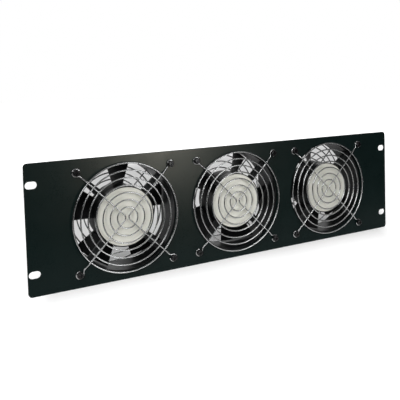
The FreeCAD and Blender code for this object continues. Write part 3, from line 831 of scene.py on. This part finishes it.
class FANPANEL_OT_guards(FanPanelOperator, Operator):
    """Bends and welds the wire guards in front of and behind each fan"""

    bl_idname = "fanpanel.guards"
    bl_label = "Wire guards"

    def execute(self, context):
        settings = context.scene.fanpanel_guard
        radii = np.linspace(settings.first_ring, settings.last_ring, settings.rings) / MM
        kinds = (("wires", guard_wires(settings, radii), bright_plating(settings)),
                 ("welds", guard_welds(settings, radii), weld_metal(settings)))
        for fan, x in FAN_X.items():
            for side, turn, face in (("front", 1.0, PANEL_FACE), ("rear", HALF_TURN, HOUSING_BACK)):
                node = fan + "_" + side + "_guard"
                for kind, grids, material in kinds:
                    placed = [(shifted(grid * turn, x, face), *closed) for grid, *closed in grids]
                    piece = grid_piece(node + "_" + kind, placed, 50)
                    mount(piece, "root", material, node)
        return {"FINISHED"}


class FANPANEL_OT_impellers(FanPanelOperator, Operator):
    """Moulds the hub and twisted blades of each impeller"""

    bl_idname = "fanpanel.impellers"
    bl_label = "Impellers"

    def execute(self, context):
        settings = context.scene.fanpanel_impeller
        material = moulded_black(settings)
        for fan, x in FAN_X.items():
            node = fan + "_impeller"
            low, high, _ = extent(node)
            hub = turned_grid(hub_profile(settings, low, high), 144)
            blade = blade_grid(settings, high - settings.rear_inset / MM)
            turns = blade_angle(settings, fan) + full_turn(settings.blades)
            blades = [(shifted(rotated(blade, turn), x), False, True) for turn in turns]
            piece = grid_piece(fan + "_moulded_impeller", [(shifted(hub, x), True, True)] + blades, 50)
            mount(piece, "rotor_" + fan, material, node)
        return {"FINISHED"}


class FANPANEL_OT_housings(FanPanelOperator, Operator):
    """Paints the die-cast housings and finishes their terminals and lead wires"""

    bl_idname = "fanpanel.housings"
    bl_label = "Housings and terminals"

    def execute(self, context):
        settings = context.scene.fanpanel_housing
        paint = cast_paint(settings)
        moulding = plain_moulding("terminal_moulding", settings.moulding)
        tabs = worked_steel("tinned_tabs", settings.tabs, 0.25, 0.4)
        leads = plain_moulding("lead_insulation", settings.leads, 0.3, 0.42, 1.2)
        for fan in FAN_X:
            for kind, slot, material, edge in (
                    ("fan_frame", "fan_housing", paint, settings.edge),
                    ("terminal_block", "terminal_moulding", moulding, settings.block_edge),
                    ("terminal_tabs", "tab_brass", tabs, settings.tab_edge),
                    ("lead_wires", "lead_insulation", leads, 0.0)):
                node = fan + "_" + kind
                dress(node, node + "_finished", edge, "root", material)
        return {"FINISHED"}


class FANPANEL_OT_labels(FanPanelOperator, Operator):
    """Presses the round foil plate into the front of each motor"""

    bl_idname = "fanpanel.labels"
    bl_label = "Foil plates"

    def execute(self, context):
        settings = context.scene.fanpanel_motor
        material = foil(settings)
        segments = 128
        for fan, x in FAN_X.items():
            node = fan + "_hub_label"
            low, high, radius = extent(node)
            profile = label_profile(settings, low, high, radius)
            grid = shifted(turned_grid(profile, segments), x)
            outwards = np.array([0.5 + point[0] / radius / 2 for point in profile])
            uv = cell_map(outwards, np.linspace(0, 1, segments + 1))[:, ::-1]
            piece = grid_piece(fan + "_foil_plate", [(grid, False, True)], 50, [uv])
            mount(piece, "root", material, node)
        return {"FINISHED"}


class FANPANEL_OT_motors(FanPanelOperator, Operator):
    """Winds the coils and finishes the stator, bearings, shaft, ring and rotor cup"""

    bl_idname = "fanpanel.motors"
    bl_label = "Motors"

    def execute(self, context):
        settings = context.scene.fanpanel_motor
        enamel = winding_enamel(settings)
        sheets = laminations(settings)
        ground = worked_steel("ground_steel", settings.ground, 0.12, 0.24, (1, 6, 1))
        drawn = worked_steel("drawn_steel", settings.rotor, 0.26, 0.42, (1, 0.1, 1))
        for fan, x in FAN_X.items():
            for kind, slot, material, body in (
                    ("stator_core", "lamination_steel", sheets, "root"),
                    ("bearings", "bearing_steel", ground, "root"),
                    ("shaft", "bearing_steel", ground, "rotor_" + fan),
                    ("retaining_ring", "bearing_steel", ground, "rotor_" + fan),
                    ("rotor_cup", "rotor_steel", drawn, "rotor_" + fan)):
                node = fan + "_" + kind
                dress(node, node + "_finished", settings.edge, body, material)
            self.wind(fan, x, enamel)
        return {"FINISHED"}

    def wind(self, fan, x, enamel):
        """Four coils round the poles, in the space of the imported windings.

        Each coil's map runs in millimetres, across its layers and once round its turns.
        """
        node = fan + "_windings"
        low, high, outer = extent(node)
        inner, half_width, build, pole = 12.15, 8.2, 4.0, 4.2
        layer, turn_length = 0.75, 60.0
        grids = []
        maps = []
        for turn in full_turn(4):
            grid = coil_grid(low, high, inner, outer, half_width, build, pole, turn)
            grids.append((shifted(grid, x), True, True))
            rows, columns = grid.shape[:2]
            round_coil = np.linspace(0, turn_length, columns + 1)
            maps.append(cell_map(np.arange(rows + 1) * layer, round_coil)[:, ::-1])
        piece = grid_piece(fan + "_wound_coils", grids, 70, maps)
        mount(piece, "root", enamel, node)


class FANPANEL_OT_fasteners(FanPanelOperator, Operator):
    """Cuts the screw threads and plates the washers and nuts"""

    bl_idname = "fanpanel.fasteners"
    bl_label = "Screws, washers and nuts"

    def execute(self, context):
        settings = context.scene.fanpanel_fastener
        corner = context.scene.fanpanel_guard.screw / MM
        oxide = black_oxide(settings)
        zinc = zinc_plate(settings)
        for side, forward in (("front", True), ("rear", False)):
            node = side + "_guard_screws"
            low, high, _ = extent(node)
            seat = low + settings.head / MM if forward else high - settings.head / MM
            tip = high if forward else low
            heads = screw_heads(side + "_screw_heads", node, seat, forward, settings.head_edge)
            mount(heads, "root", oxide, node)
            thread = thread_grid(settings, seat, tip)
            grids = [(shifted(thread, x + across, 0.0, up), False, True) for x in FAN_X.values()
                     for across in (-corner, corner) for up in (-corner, corner)]
            threads = grid_piece(side + "_screw_threads", grids, 30)
            mount(threads, "root", oxide, node)
            for kind in ("washers", "nuts"):
                name = side + "_plated_" + kind
                dress(side + "_" + kind, name, settings.edge, "root", zinc)
        return {"FINISHED"}


class FANPANEL_OT_stage(FanPanelOperator, Operator):
    """Lays the floor and sets the lamps, the background and the camera"""

    bl_idname = "fanpanel.stage"
    bl_label = "Stage"

    def execute(self, context):
        settings = context.scene.fanpanel_stage
        self.lay_floor(settings)
        self.light_world(context)
        left_fan = Vector((-0.07, 0.0, 0.05))
        self.hang_lamp("rear_lamp", (0.75, 1.15, 0.85), Vector(), (0.9, 0.9), 4.0)
        key = self.hang_lamp("key_lamp", (-0.55, -0.90, 0.95), Vector(), (1.7, 1.7), 20.0)
        key.visible_glossy = False
        self.hang_lamp("left_lamp", (-0.93, -0.98, 0.66), Vector(), (0.5, 0.5), 3.1)
        self.hang_lamp("side_lamp", (0.23, -0.69, 0.07), left_fan, (0.24, 0.26), 1.15)
        sheen = self.hang_lamp("sheen_lamp", (0.19, -0.70, 0.07), left_fan, (0.16, 0.26), 5.7,
                               (1.0, 0.93, 0.77))
        sheen.visible_diffuse = False
        lit = bpy.data.collections.new("sheen_lit")
        lit.objects.link(bpy.data.objects["coated_panel"])
        sheen.light_linking.receiver_collection = lit
        self.set_camera(context, settings)
        context.scene.view_settings.view_transform = "Standard"
        return {"FINISHED"}

    def lay_floor(self, settings):
        """Flat floor whose paper is darker in front, where the metal mirrors it.

        It glows for the lens in front and at both sides, a painted light that covers the object's shadow
        there, and for the lens, metal and glass at the back, so that it looks pale there. Just behind the
        object it doesn't glow, so the floor's real shade from the lamps shows there. The glow lights no
        matt surface.
        """
        reach = 9000
        side = np.linspace(-reach, reach, 13)
        x, y = np.meshgrid(side, side, indexing="ij")
        grid = np.stack([x, y, np.full_like(x, CAD_BOX[0].z / MM)], -1)
        floor = grid_piece("studio_floor", [(grid, False, False)], 40)
        material = bpy.data.materials.new("studio_floor")
        graph = Graph(material)
        graph.tree.nodes.clear()
        join, ramp = graph.join, graph.ramp
        x, y = graph.axes("Object")[:2]
        rays = graph.node("LightPath").outputs
        lens = rays["Is Camera Ray"]
        near = ramp(y, -0.04, -0.16, 1.0, 0.01)
        paper = graph.node("BsdfDiffuse", Color=join("MULTIPLY", near, settings.floor))
        away = join("MULTIPLY", join("SUBTRACT", 1.0, near), 0.75)
        front = join("ADD", ramp(y, 0.04, -0.06, 0.0, 0.45), away)
        # painted light for the lens at the left and right of the object, over its shadow there
        left = ramp(join("SUBTRACT", x, join("MULTIPLY", y, 0.2)), -0.20, -0.24, 0.0, 0.5)
        right = ramp(join("SUBTRACT", x, y), 0.20, 0.26, 0.0, 0.5)
        pale = join("MAXIMUM", front, join("MAXIMUM", left, right))
        mirrored = join("MAXIMUM", rays["Is Glossy Ray"], rays["Is Transmission Ray"])
        behind = join("MULTIPLY", ramp(y, 0.72, 1.08, 0.0, 0.95), join("MAXIMUM", lens, mirrored))
        glow = graph.node("Emission", Strength=join("ADD", join("MULTIPLY", pale, lens), behind))
        total = graph.node("AddShader")
        graph.feed(total.inputs[0], paper.outputs["BSDF"])
        graph.feed(total.inputs[1], glow.outputs["Emission"])
        graph.node("OutputMaterial", Surface=total.outputs["Shader"])
        floor.data.materials.append(material)

    def light_world(self, context):
        """Studio room: white to the lens, and otherwise dark with a paler ceiling and backdrop."""
        world = bpy.data.worlds.new("studio")
        context.scene.world = world
        graph = Graph(world)
        graph.tree.nodes.clear()
        y, z = graph.axes("Generated")[1:3]
        ceiling = graph.ramp(z, 0.3, 0.8, 0.008, 0.36)
        backdrop = graph.ramp(y, 0.55, 0.9, 0.0, 0.6)
        lens = graph.node("LightPath").outputs["Is Camera Ray"]
        light = graph.node("Mix", Factor=lens, A=graph.join("MAXIMUM", ceiling, backdrop), B=1.0)
        background = graph.node("Background", Color=(1.0, 1.0, 1.0, 1.0), Strength=light.outputs["Result"])
        graph.node("OutputWorld", Surface=background.outputs["Background"])

    def hang_lamp(self, name, place, aim, size, power, tone=(1.0, 1.0, 1.0)):
        """Soft box at a place, turned to its aim, that the lens doesn't see."""
        lamp = bpy.data.lights.new(name, "AREA")
        lamp.shape = "RECTANGLE"
        lamp.size, lamp.size_y = size
        lamp.energy = power
        lamp.color = tone
        holder = add_object(name, lamp)
        holder.visible_camera = False
        place = Vector(place)
        holder.matrix_world = Matrix.LocRotScale(place, (aim - place).to_track_quat("-Z", "Y"), None)
        return holder

    def set_camera(self, context, settings):
        """Camera that is rolled about its own axis, tilted and then turned round the object."""
        turn = (Matrix.Rotation(settings.azimuth, 3, "Z")
                @ Matrix.Rotation(math.pi / 2 - settings.elevation, 3, "X")
                @ Matrix.Rotation(settings.roll, 3, "Z"))
        camera = add_object("camera", bpy.data.cameras.new("camera"))
        camera.matrix_world = Matrix.LocRotScale(Vector(settings.camera), turn, None)
        camera.data.sensor_width = 36.0
        camera.data.lens = settings.lens
        camera.data.shift_y = settings.rise
        camera.data.clip_start = 0.01
        camera.data.clip_end = 50.0
        context.scene.camera = camera


OPERATORS = (
    FANPANEL_OT_front_panel, FANPANEL_OT_guards, FANPANEL_OT_impellers, FANPANEL_OT_housings,
    FANPANEL_OT_labels, FANPANEL_OT_motors, FANPANEL_OT_fasteners, FANPANEL_OT_stage,
)
SETTINGS = {
    "fanpanel_panel": PanelSettings, "fanpanel_guard": GuardSettings, "fanpanel_impeller": ImpellerSettings,
    "fanpanel_housing": HousingSettings, "fanpanel_motor": MotorSettings,
    "fanpanel_fastener": FastenerSettings, "fanpanel_stage": StageSettings,
}


class FANPANEL_PT_sidebar(Panel):
    """Lists the pieces and their settings"""

    bl_idname = "FANPANEL_PT_sidebar"
    bl_label = "Fan Panel"
    bl_space_type = "VIEW_3D"
    bl_region_type = "UI"
    bl_category = "Fan Panel"

    def draw(self, context):
        for operator in OPERATORS:
            self.layout.operator(operator.bl_idname)
        for name, group in SETTINGS.items():
            box = self.layout.box()
            box.label(text=group.__name__)
            for item in group.__annotations__:
                box.prop(getattr(context.scene, name), item)


CLASSES = (*SETTINGS.values(), *OPERATORS, FANPANEL_PT_sidebar)


def register():
    for kind in CLASSES:
        bpy.utils.register_class(kind)
    for name, group in SETTINGS.items():
        setattr(Scene, name, PointerProperty(type=group))


def unregister():
    for name in SETTINGS:
        delattr(Scene, name)
    for kind in CLASSES[::-1]:
        bpy.utils.unregister_class(kind)


def main():
    register()
    for operator in OPERATORS:
        group, name = operator.bl_idname.split(".")
        getattr(getattr(bpy.ops, group), name)()


if __name__ == "__main__":
    main()
